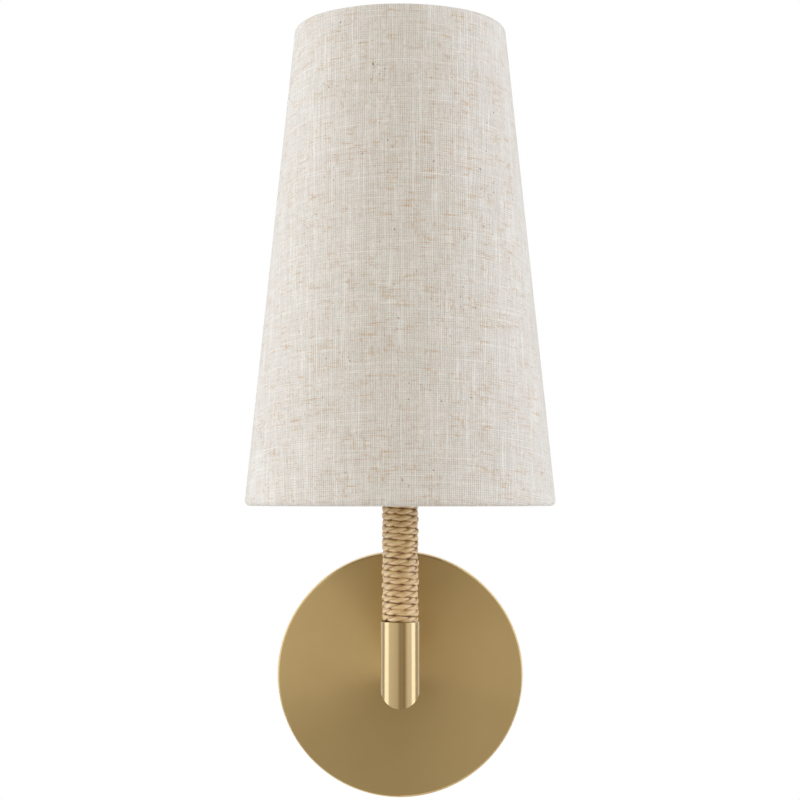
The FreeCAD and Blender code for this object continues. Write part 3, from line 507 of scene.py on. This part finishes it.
def raise_seam(obj, low, high):
    """Lifts the strip at the back where one edge of the cloth laps over the other."""
    select_only(obj)
    bpy.ops.object.mode_set(mode="EDIT")
    bpy.ops.mesh.select_all(action="DESELECT")
    bpy.ops.object.mode_set(mode="OBJECT")
    half = math.pi * SEAM_SEGMENTS / CLOTH_SEGMENTS + SEAM_ROOM
    for face in obj.data.polygons:
        x = face.center.x - AXIS_X
        y = face.center.y - AXIS_Y
        z = face.center.z
        reach = math.hypot(x, y)
        line = low.x + (high.x - low.x) * (z - low.y) / (high.y - low.y)
        on_wall = low.y < z < high.y and reach > line + OUTER_REACH
        outer = face.normal.x * x + face.normal.y * y > OUTER_FROM * reach
        face.select = on_wall and outer and abs(math.atan2(x, y)) < half
    bpy.ops.object.mode_set(mode="EDIT")
    bpy.ops.mesh.extrude_region_shrink_fatten(TRANSFORM_OT_shrink_fatten={"value": SEAM_RISE})
    bpy.ops.object.mode_set(mode="OBJECT")


def lay_flat(mesh, apex, lean):
    """A UV map with the cone laid flat about its apex, so that the threads run as they were cut."""
    places = read_all(mesh.vertices, "co", width=3).reshape(-1, 3)
    turns = np.arctan2(places[:, 0] - AXIS_X, AXIS_Y - places[:, 1])
    reaches = (apex - places[:, 2]) / math.cos(lean)
    corners = read_all(mesh.loops, "vertex_index", kind=int)
    turn = turns[corners]
    reach = reaches[corners]
    # a face across the back has all its corners on one side of the cut
    starts = read_all(mesh.polygons, "loop_start", kind=int)
    counts = read_all(mesh.polygons, "loop_total", kind=int)
    face_turn = np.repeat(np.maximum.reduceat(turn, starts), counts)
    across = (face_turn > BACK_TURN) & (turn < -BACK_TURN)
    angle = (turn + np.where(across, 2 * math.pi, 0.0)) * math.sin(lean)
    uvs = np.column_stack([reach * np.sin(angle), FLAT_UP - reach * np.cos(angle)])
    mesh.uv_layers.new(name="flat cloth").data.foreach_set("uv", uvs.ravel())


def make_shade_cloth():
    """The cloth with its hems turned over both hoops, and its size as it was cut."""
    low, high, wire_r = shade_lines()
    along = (high - low).normalized()
    out = Vector((along.y, -along.x))
    slant = (high - low).length
    rings = []
    for cloth_out, cloth_up in cloth_section(slant, wire_r):
        point = low + out * cloth_out + along * cloth_up
        rings.append((point.x, point.y))
    obj = spun_skin(rings, CLOTH_SEGMENTS)
    raise_seam(obj, low, high)
    lean = math.atan2(low.x - high.x, high.y - low.y)
    apex = low.x / math.tan(lean) + low.y
    lay_flat(obj.data, apex, lean)
    finish_piece(obj, "shade_cloth", "shade", cloth_material())
    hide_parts("shade_fabric")


# ---- rope -----------------------------------------------------------------------------------------

ROPE_MIDDLE_R = (STEM_R + (wrap_high.x - wrap_low.x) / 2) / 2
ROPE_TURNS = 21
ROPE_PITCH = 3.05 * MM
ROPE_R = 1.2 * MM
ROPE_BEND = 3.0 * MM          # radius of the bend between an upright end and the turns
ROPE_LAY = 12.5 * MM          # one full twist of the two plies
ROPE_STEP = 0.5 * MM
BEND_STEPS = 8
END_STEPS = 5
PLY_OUT = 0.52 * MM           # how far a ply's middle swings from the rope's middle
PLY_ASIDE = 0.64 * MM
PLY_THICK = 0.76 * MM         # half sizes of a ply's section where it lies beside the other
PLY_WIDE = 0.88 * MM
PLY_SPREAD = 0.48 * MM        # how much wider it is where it lies over the other
PLY_SIDES = 14
PLY_SQUARENESS = 0.92         # power below 1 that fills the round section out towards its corners
PLY_UV_SHIFT = 0.02           # keeps the second ply's fibres unlike the first's
UNDER_ROPE = 0.05 * MM
FOOT_FROM = -0.4              # cosine from which a ply's section lies flat on the stem
FOOT_SPREAD = 1.35
MOUTH_FADE = 1.5 * MM         # the rope lies close while it is this near above the ferrule's mouth
MOUTH_SQUEEZE = 0.15
ROPE_LIFT = 0.06 * MM
TWIST_WANDER = (60, 3.1, 1.5)           # changes a metre, seed, and how far it goes, in radians
LIFT_WANDER = (45, 11.3, 0.44 * MM)
SLIP_WANDER = (38, 17.9, 0.26 * MM)
SIZE_WANDER = (170, 7.7, 0.14)
SIZE_SEED_STEP = 5            # from one ply's seed to the other's
WANDER_ROW = 0.37
ROPE_SHADE_DARKEST_R = 7.4 * MM      # from the stem's middle, where the painted shade in the creases is darkest
ROPE_SHADE_END_R = 8.6 * MM       # and where that painted shade ends, leaving the fibres' own colour
FIBRE_ROUGHNESS = 0.65        # of the noises that the fibres come from


def rope_material():
    """Natural fibre: streaks along each ply, paler and darker bundles, tan patches, and painted shade that
    darkens the creases nearer the stem.
    """
    material, tree, shader = new_material(
        "natural twine", Roughness=0.45, Specular_IOR_Level=0.9, Sheen_Weight=0.6, Sheen_Roughness=0.3,
        Sheen_Tint=(1.0, 0.91, 0.72, 1.0), Coat_Weight=0.8, Coat_IOR=1.8, Coat_Roughness=0.4,
    )
    place = add_node(tree, "UVMap", {"uv_map": "ply"}).outputs["UV"]
    fibres = noise_at(tree, place, (150, 4200, 1), 4.0, FIBRE_ROUGHNESS)
    bundles = noise_at(tree, place, (120, 1300, 1), 3.0, FIBRE_ROUGHNESS)
    patches = noise_at(tree, place, (90, 90, 1), 3.0, FIBRE_ROUGHNESS)
    fibre_colour = ramp(tree, fibres, ((0.30, srgb(184, 138, 74)), (0.48, srgb(230, 190, 118)),
                                       (0.70, srgb(255, 236, 178))))
    bundle_colour = ramp(tree, bundles, ((0.36, srgb(200, 168, 120)), (0.62, srgb(255, 250, 236))))
    colour = blend(tree, 0.6, fibre_colour, bundle_colour, "MULTIPLY")
    colour = blend(tree, calc(tree, "MULTIPLY", patches, 0.3), colour, srgb(222, 178, 106))
    # painted shade: the fibre colour multiplied darker, standing in for the shade in the creases between
    # turns and plies
    crease_shaded_colour = blend(tree, 1.0, colour, srgb(188, 140, 78), "MULTIPLY")
    spot = add_node(tree, "TexCoord").outputs["Object"]
    from_axis = add_node(tree, "VectorMath", {"operation": "SUBTRACT"}, i0=spot, i1=(AXIS_X, AXIS_Y, 0))
    level = add_node(tree, "VectorMath", {"operation": "MULTIPLY"}, i0=from_axis.outputs[0], i1=(1, 1, 0))
    reach = add_node(tree, "VectorMath", {"operation": "LENGTH"}, i0=level.outputs[0]).outputs["Value"]
    # the painted shade fades with distance from the stem's axis, so deep creases are darkest and the outer
    # ridges keep their own colour
    unshaded_share = soft_step(tree, reach, ROPE_SHADE_DARKEST_R, ROPE_SHADE_END_R)
    tree.links.new(blend(tree, unshaded_share, crease_shaded_colour, colour), shader.inputs["Base Color"])
    bump = add_node(tree, "Bump", Strength=0.8, Distance=THREAD_RELIEF, Height=fibres)
    tree.links.new(bump.outputs[0], shader.inputs["Normal"])
    return material


def wander(place, kind, seed_shift=0):
    """A smooth wander to both sides of nought, place metres along the rope."""
    rate, seed, size = kind
    return size * noise.noise(Vector((place * rate, seed + seed_shift, WANDER_ROW)))


def round_off(value):
    """Fills a round section out towards its corners."""
    return math.copysign(abs(value) ** PLY_SQUARENESS, value)


def rope_line():
    """The rope's middle as (turn, height) rows, evenly stepped: up from the bush, the turns, and up
    to the lamp holder."""
    straight = 2 * ROPE_R
    lean = math.atan2(ROPE_PITCH, 2 * math.pi * ROPE_MIDDLE_R)
    foot = wrap_low.z + straight + ROPE_BEND * math.cos(lean)
    rows = []
    for step in range(END_STEPS):
        rows.append((-ROPE_BEND * (1 - math.sin(lean)) / ROPE_MIDDLE_R,
                     wrap_low.z + straight * step / END_STEPS))
    for step in range(BEND_STEPS):
        rise = math.pi / 2 - (math.pi / 2 - lean) * step / BEND_STEPS
        rows.append((ROPE_BEND * (math.sin(lean) - math.sin(rise)) / ROPE_MIDDLE_R,
                     foot + ROPE_BEND * (math.cos(rise) - math.cos(lean))))
    steps = int(ROPE_TURNS * 2 * math.pi * ROPE_MIDDLE_R / ROPE_STEP)
    for step in range(steps + 1):
        done = ROPE_TURNS * step / steps
        rows.append((2 * math.pi * done, foot + ROPE_PITCH * done))
    last_turn, last_height = rows[-1]
    for step in range(1, BEND_STEPS + 1):
        rise = lean + (math.pi / 2 - lean) * step / BEND_STEPS
        rows.append((last_turn + ROPE_BEND * (math.sin(rise) - math.sin(lean)) / ROPE_MIDDLE_R,
                     last_height + ROPE_BEND * (math.cos(lean) - math.cos(rise))))
    last_turn, last_height = rows[-1]
    for step in range(1, END_STEPS + 1):
        rows.append((last_turn, last_height + (wrap_high.z - last_height) * step / END_STEPS))
    return rows


def ply_ring(ply, place, turn, height, ahead_round, ahead_up):
    """One ring of a ply's skin, place metres along the rope; ahead_round and ahead_up are the way
    that the rope takes there."""
    free = min(1.0, max(0.0, (height - elbow_high.z) / MOUTH_FADE))
    twist = -2 * math.pi * place / ROPE_LAY + math.pi * ply + wander(place, TWIST_WANDER)
    size = 1 + wander(place, SIZE_WANDER, SIZE_SEED_STEP * ply)
    over = math.cos(twist)
    thick = PLY_THICK * size
    wide = (PLY_WIDE + PLY_SPREAD * over ** 2) * size
    swing_out = PLY_OUT * (1 - MOUTH_SQUEEZE * (1 - free)) * over
    middle_out = ROPE_MIDDLE_R + (ROPE_LIFT + wander(place, LIFT_WANDER)) * free + swing_out
    middle_aside = PLY_ASIDE * math.sin(twist) + wander(place, SLIP_WANDER)
    for side in range(PLY_SIDES):
        angle = math.pi + 2 * math.pi * side / PLY_SIDES
        out = middle_out + thick * round_off(math.cos(angle))
        aside = wide * round_off(math.sin(angle))
        if math.cos(angle) < FOOT_FROM:
            out = STEM_R + UNDER_ROPE
            aside *= FOOT_SPREAD
        out = max(out, STEM_R + UNDER_ROPE)
        aside += middle_aside
        round_to = turn - aside * ahead_up / ROPE_MIDDLE_R
        up_to = min(max(height + aside * ahead_round, wrap_low.z), wrap_high.z)
        yield AXIS_X + out * math.sin(round_to), AXIS_Y + out * math.cos(round_to), up_to


def ply_vertices(ply, run, turns, heights):
    """A ply's points, ring after ring along the rope."""
    last = len(run) - 1
    for index, place in enumerate(run):
        before = max(index - 1, 0)
        after = min(index + 1, last)
        step_round = (turns[after] - turns[before]) * ROPE_MIDDLE_R
        step_up = heights[after] - heights[before]
        length = math.hypot(step_round, step_up)
        yield from ply_ring(ply, place, turns[index], heights[index], step_round / length, step_up / length)


def ply_faces(ply, run, start):
    """A ply's faces from its first vertex, start, with the fibres' UV places: along and round."""
    faces = []
    uvs = []
    for ring in range(len(run) - 1):
        here = start + ring * PLY_SIDES
        ahead = here + PLY_SIDES
        for side in range(PLY_SIDES):
            other = (side + 1) % PLY_SIDES
            faces.append((here + side, ahead + side, ahead + other, here + other))
            round_a = side / PLY_SIDES * 2 * math.pi * PLY_WIDE + ply * PLY_UV_SHIFT
            round_b = (side + 1) / PLY_SIDES * 2 * math.pi * PLY_WIDE + ply * PLY_UV_SHIFT
            uvs += [(run[ring], round_a), (run[ring + 1], round_a)]
            uvs += [(run[ring + 1], round_b), (run[ring], round_b)]
    far_end = start + (len(run) - 1) * PLY_SIDES
    faces.append(tuple(range(start, start + PLY_SIDES)))
    faces.append(tuple(reversed(range(far_end, far_end + PLY_SIDES))))
    uvs += [(0.0, 0.0)] * (2 * PLY_SIDES)
    return faces, uvs


def make_rope():
    """Two plies twisted round each other and wound on the stem in one unbroken length."""
    turns, heights = np.array(rope_line()).T
    run = np.concatenate([[0], np.cumsum(np.hypot(np.diff(turns) * ROPE_MIDDLE_R, np.diff(heights)))])
    vertices = []
    faces = []
    uvs = []
    for ply in range(2):
        new_faces, new_uvs = ply_faces(ply, run, len(vertices))
        vertices += ply_vertices(ply, run, turns, heights)
        faces += new_faces
        uvs += new_uvs
    mesh = bpy.data.meshes.new("rope_winding")
    mesh.from_pydata(vertices, [], faces)
    mesh.uv_layers.new(name="ply").data.foreach_set("uv", np.array(uvs).ravel())
    obj = bpy.data.objects.new("rope_winding", mesh)
    bpy.context.scene.collection.objects.link(obj)
    select_only(obj)
    bpy.ops.object.mode_set(mode="EDIT")
    bpy.ops.mesh.select_all(action="SELECT")
    bpy.ops.mesh.normals_make_consistent(inside=False)
    bpy.ops.object.mode_set(mode="OBJECT")
    bpy.ops.object.shade_smooth()
    finish_piece(obj, "rope_winding", "wall_bracket", rope_material())
    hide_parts("rope_wrap")


# ---- lamp cap -------------------------------------------------------------------------------------

CAP_WALL = 0.4 * MM
THREAD_PITCH = 3.63 * MM      # seven turns to the inch
THREAD_DEPTH = 0.85 * MM
THREAD_END = 2.0 * MM         # plain band above and below the thread
THREAD_FADE = 2.0 * MM
CAP_ROWS = 72
CAP_SEGMENTS = 96


def make_lamp_cap():
    """The lamp's thin cap, with its round thread pressed into the plain shell."""
    low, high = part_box("bulb_cap")
    radius = (high.x - low.x) / 2
    rings = [(radius, low.z + (high.z - low.z) * row / CAP_ROWS) for row in range(CAP_ROWS + 1)]
    obj = spun_skin(rings, CAP_SEGMENTS)
    thread = obj.vertex_groups.new(name="thread")
    for vertex in obj.data.vertices:
        place = vertex.co
        turn = math.atan2(place.y - AXIS_Y, place.x - AXIS_X)
        wave = 0.5 - 0.5 * math.cos(2 * math.pi * (place.z - low.z) / THREAD_PITCH - turn)
        from_end = min(place.z - low.z, high.z - place.z)
        fade = min(1.0, max(0.0, (from_end - THREAD_END) / THREAD_FADE))
        thread.add([vertex.index], wave * fade, "REPLACE")
    press = obj.modifiers.new("press", "DISPLACE")
    press.vertex_group = "thread"
    press.mid_level = 0.0
    press.strength = -THREAD_DEPTH
    wall = obj.modifiers.new("wall", "SOLIDIFY")
    wall.thickness = CAP_WALL
    wall.offset = -1.0
    bpy.ops.object.modifier_apply(modifier="press")
    bpy.ops.object.modifier_apply(modifier="wall")
    finish_piece(obj, "threaded_cap", "lamp", FINISHES["shell_metal"])
    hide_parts("bulb_cap")


# ---- camera ---------------------------------------------------------------------------------------

PICTURE = 800.0               # the picture's width and height, in pixels
LENS_PIXELS = 1791.0          # pixels that one metre covers from one metre away
SENSOR = 36.0                 # millimetres
EYE_TO_AXIS = 0.868
EYE_Z = 0.0924
EYE_ROW = 496.5               # the pixel row of the horizon
AXIS_COLUMN = 400.2           # the pixel column of the shade's axis


def make_camera():
    """Level, a long lens, shifted so that the horizon lies in the picture's lower half."""
    data = bpy.data.cameras.new("camera")
    data.sensor_width = SENSOR
    data.lens = SENSOR * LENS_PIXELS / PICTURE
    data.shift_x = (PICTURE / 2 - AXIS_COLUMN) / PICTURE
    data.shift_y = (EYE_ROW - PICTURE / 2) / PICTURE
    data.clip_start = 0.05
    data.clip_end = 50.0
    camera = bpy.data.objects.new("camera", data)
    camera.location = (AXIS_X, AXIS_Y - EYE_TO_AXIS, EYE_Z)
    camera.rotation_euler = (math.pi / 2, 0, 0)
    bpy.context.scene.collection.objects.link(camera)
    bpy.context.scene.camera = camera


# ---- light ----------------------------------------------------------------------------------------

ROOM_LIGHT = 0.665            # the world's strength before the object
WALL_SIDE_LIGHT = 0.40        # and behind it
DEPTH_SPAN = (-0.2, 0.5)      # the way's Y over which one passes into the other
LOW_LIGHT_SHARE = 0.83
HIGH_LIGHT_SHARE = 1.05
RISE_SPAN = (-0.6, 0.4)       # the way's Z over which the low share passes into the high one
SIDE_LIGHT = 1.09             # what the two sides add
SIDE_SPAN = (0.45, 1.0)       # how far aside it begins and is full
LEFT_LEAN = 0.035             # makes the left side's light a little stronger
FRONT_COLOUR = (1.02, 1.0, 0.965, 1)
SIDE_COLOUR = (0.98, 1.01, 1.02, 1)
SOFTBOX_BRIGHTNESS = 1.16     # where it is reflected
SOFTBOX_HEIGHT = 1.6
SOFTBOX_Z = 0.20
SOFTBOX_AIM_Z = 0.15
SOFTBOXES = (                 # name, how far to the right and before the stem, width, colour
    ("left softbox", -0.9, 0.07, 0.50, (0.79, 0.96, 1.24)),
    ("right softbox", 0.89, 0.12, 0.42, (0.77, 0.97, 1.36)),
)
FLOOR_Z = -1.3
FLOOR_SIZE = 12.0
FLOOR_GREY = 0.86
FLOOR_GLOW = 1.06
FLOOR_SEEN_SHARE = 0.90       # how much of what is seen of the floor is its glow


def seen_mask(tree):
    """1 where a camera, glossy or transmitted ray looks, else 0."""
    path = add_node(tree, "LightPath").outputs
    direct = calc(tree, "MAXIMUM", path["Is Camera Ray"], path["Is Glossy Ray"])
    return calc(tree, "MAXIMUM", direct, path["Is Transmission Ray"])


def make_world():
    """White where it is seen, and a soft light of its own that comes mostly from the two sides."""
    world = bpy.data.worlds.new("studio")
    bpy.context.scene.world = world
    world.use_nodes = True
    tree = world.node_tree
    sight = add_node(tree, "TexCoord").outputs["Generated"]
    way = add_node(tree, "SeparateXYZ", Vector=sight).outputs
    aside = calc(tree, "ABSOLUTE", calc(tree, "SUBTRACT", way["X"], LEFT_LEAN))
    depth = soft_step(tree, way["Y"], *DEPTH_SPAN, ROOM_LIGHT, WALL_SIDE_LIGHT)
    rise = soft_step(tree, way["Z"], *RISE_SPAN, LOW_LIGHT_SHARE, HIGH_LIGHT_SHARE)
    sides = soft_step(tree, aside, *SIDE_SPAN, 0.0, SIDE_LIGHT)
    light = tree.nodes["Background"]
    tree.links.new(blend(tree, aside, FRONT_COLOUR, SIDE_COLOUR), light.inputs["Color"])
    tree.links.new(calc(tree, "ADD", calc(tree, "MULTIPLY", depth, rise), sides), light.inputs["Strength"])
    seen = add_node(tree, "Background", Color=(1.0, 1.0, 1.0, 1), Strength=1.0)
    mix = add_node(tree, "MixShader", i0=seen_mask(tree), i1=light.outputs[0], i2=seen.outputs[0])
    tree.links.new(mix.outputs[0], tree.nodes["World Output"].inputs[0])


def make_softbox(name, right, before, width, colour):
    """A soft lamp beside the object and turned towards it, as bright whatever its size."""
    data = bpy.data.lights.new(name, "AREA")
    data.shape = "RECTANGLE"
    data.size = width
    data.size_y = SOFTBOX_HEIGHT
    data.energy = SOFTBOX_BRIGHTNESS * math.pi * width * SOFTBOX_HEIGHT
    data.color = colour
    lamp = bpy.data.objects.new(name, data)
    lamp.location = (right, AXIS_Y - before, SOFTBOX_Z)
    way = Vector((AXIS_X, AXIS_Y, SOFTBOX_AIM_Z)) - lamp.location
    lamp.rotation_euler = way.to_track_quat("-Z", "Y").to_euler()
    bpy.context.scene.collection.objects.link(lamp)


def make_floor():
    """A pale floor, nearly white where it is seen, which still takes the object's shadow."""
    deselect()
    bpy.ops.mesh.primitive_plane_add(size=FLOOR_SIZE, location=(0, 0, FLOOR_Z))
    floor = bpy.context.active_object
    floor.name = "floor"
    material, tree, shader = new_material("pale floor", Roughness=0.9,
                                          Base_Color=(FLOOR_GREY, FLOOR_GREY, FLOOR_GREY, 1))
    glow = add_node(tree, "Emission", Strength=FLOOR_GLOW)
    share = calc(tree, "MULTIPLY", seen_mask(tree), FLOOR_SEEN_SHARE)
    mix = add_node(tree, "MixShader", i0=share, i1=shader.outputs[0], i2=glow.outputs[0])
    tree.links.new(mix.outputs[0], tree.nodes["Material Output"].inputs[0])
    floor.data.materials.append(material)


# ---- cards that the brass reflects ----------------------------------------------------------------

CARD_AWAY = 1.3               # before the stem
CARD_Z = 0.3
CARD_WIDTH = 5.6
CARD_HEIGHT = 5.0
CARD_LOW_SHARE = 0.72         # how bright the card's lower part is beside its upper part
CARD_RISE = (-0.7, 0.3)       # the heights over which one passes into the other
CARD_GREEN_POWER = 1.15       # makes the card's dark parts warm and its bright ones a little cool
CARD_BLUE_POWER = 1.4
CARD_GREYS = (                # angle from straight ahead of the object, and how bright the room is there
    (-64, 1.12),
    (-45, 1.08),
    (-15, 0.88),
    (-7, 0.59),
    (0, 0.41),
    (9, 0.56),
    (17, 0.44),
    (25, 0.36),
    (33, 0.74),
    (44, 1.18),
    (63, 1.20),
)
WALL_CARD_Y = 0.35
WALL_CARD_Z = 0.2
WALL_CARD_HEIGHT = 3.0
WALL_CARD_BRIGHT = 1.1        # in its middle
WALL_CARD_GREY = 0.56         # and at its sides
WALL_CARD_FADE = (0.45, 0.75)           # how far aside one passes into the other
LOW_CARD_BEFORE = 0.75
LOW_CARD_Z = -0.35
LOW_CARD_WIDTH = 2.4
LOW_CARD_DEPTH = 1.1
LOW_CARD_GREY = 0.34


def make_card(name, place, tilt, width, height):
    """A glowing card that is seen in the brass alone, and its material's tree and glow sockets."""
    deselect()
    bpy.ops.mesh.primitive_plane_add(size=1, location=place, rotation=(tilt, 0, 0))
    card = bpy.context.active_object
    card.name = name
    card.scale = (width, height, 1)
    place_in_mesh(card)
    material = bpy.data.materials.new(name)
    material.use_nodes = True
    tree = material.node_tree
    tree.nodes.remove(tree.nodes["Principled BSDF"])
    glow = add_node(tree, "Emission")
    tree.links.new(glow.outputs[0], tree.nodes["Material Output"].inputs[0])
    card.data.materials.append(material)
    card.visible_camera = False
    card.visible_diffuse = False
    card.visible_shadow = False
    card.visible_transmission = False
    return tree, glow.inputs


def make_studio_card():
    """A tall card behind the camera, darker in the middle, for the room in the brass."""
    tree, glow = make_card("studio card", (AXIS_X, AXIS_Y - CARD_AWAY, CARD_Z), -math.pi / 2, CARD_WIDTH,
                           CARD_HEIGHT)
    spot = object_xyz(tree)
    across = add_node(tree, "MapRange", Value=spot["X"], From_Min=-CARD_WIDTH / 2,
                      From_Max=CARD_WIDTH / 2)
    stops = []
    for angle, grey in CARD_GREYS:
        position = 0.5 + CARD_AWAY * math.tan(math.radians(angle)) / CARD_WIDTH
        stops.append((position, (grey, grey ** CARD_GREEN_POWER, grey ** CARD_BLUE_POWER, 1)))
    tree.links.new(ramp(tree, across.outputs[0], stops), glow["Color"])
    tree.links.new(soft_step(tree, spot["Z"], *CARD_RISE, CARD_LOW_SHARE, 1.0), glow["Strength"])


def make_low_card():
    """A dark card lying low before the object, as a table would."""
    place = (AXIS_X, AXIS_Y - LOW_CARD_BEFORE, LOW_CARD_Z)
    _, glow = make_card("low card", place, 0, LOW_CARD_WIDTH, LOW_CARD_DEPTH)
    glow["Color"].default_value = (LOW_CARD_GREY, LOW_CARD_GREY, LOW_CARD_GREY, 1)


def make_wall_card():
    """A card behind the wall's plane, bright in the middle, which shows in the brass's edges."""
    tree, glow = make_card("wall card", (AXIS_X, WALL_CARD_Y, WALL_CARD_Z), math.pi / 2, CARD_WIDTH,
                           WALL_CARD_HEIGHT)
    aside = calc(tree, "ABSOLUTE", object_xyz(tree)["X"])
    bright = soft_step(tree, aside, *WALL_CARD_FADE, WALL_CARD_BRIGHT, WALL_CARD_GREY)
    tree.links.new(bright, glow["Strength"])


bpy.context.scene.view_settings.view_transform = "Standard"
make_camera()
make_world()
make_floor()
for softbox in SOFTBOXES:
    make_softbox(*softbox)
make_studio_card()
make_low_card()
make_wall_card()
dress_cad_nodes()
make_shade_cloth()
make_rope()
make_lamp_cap()
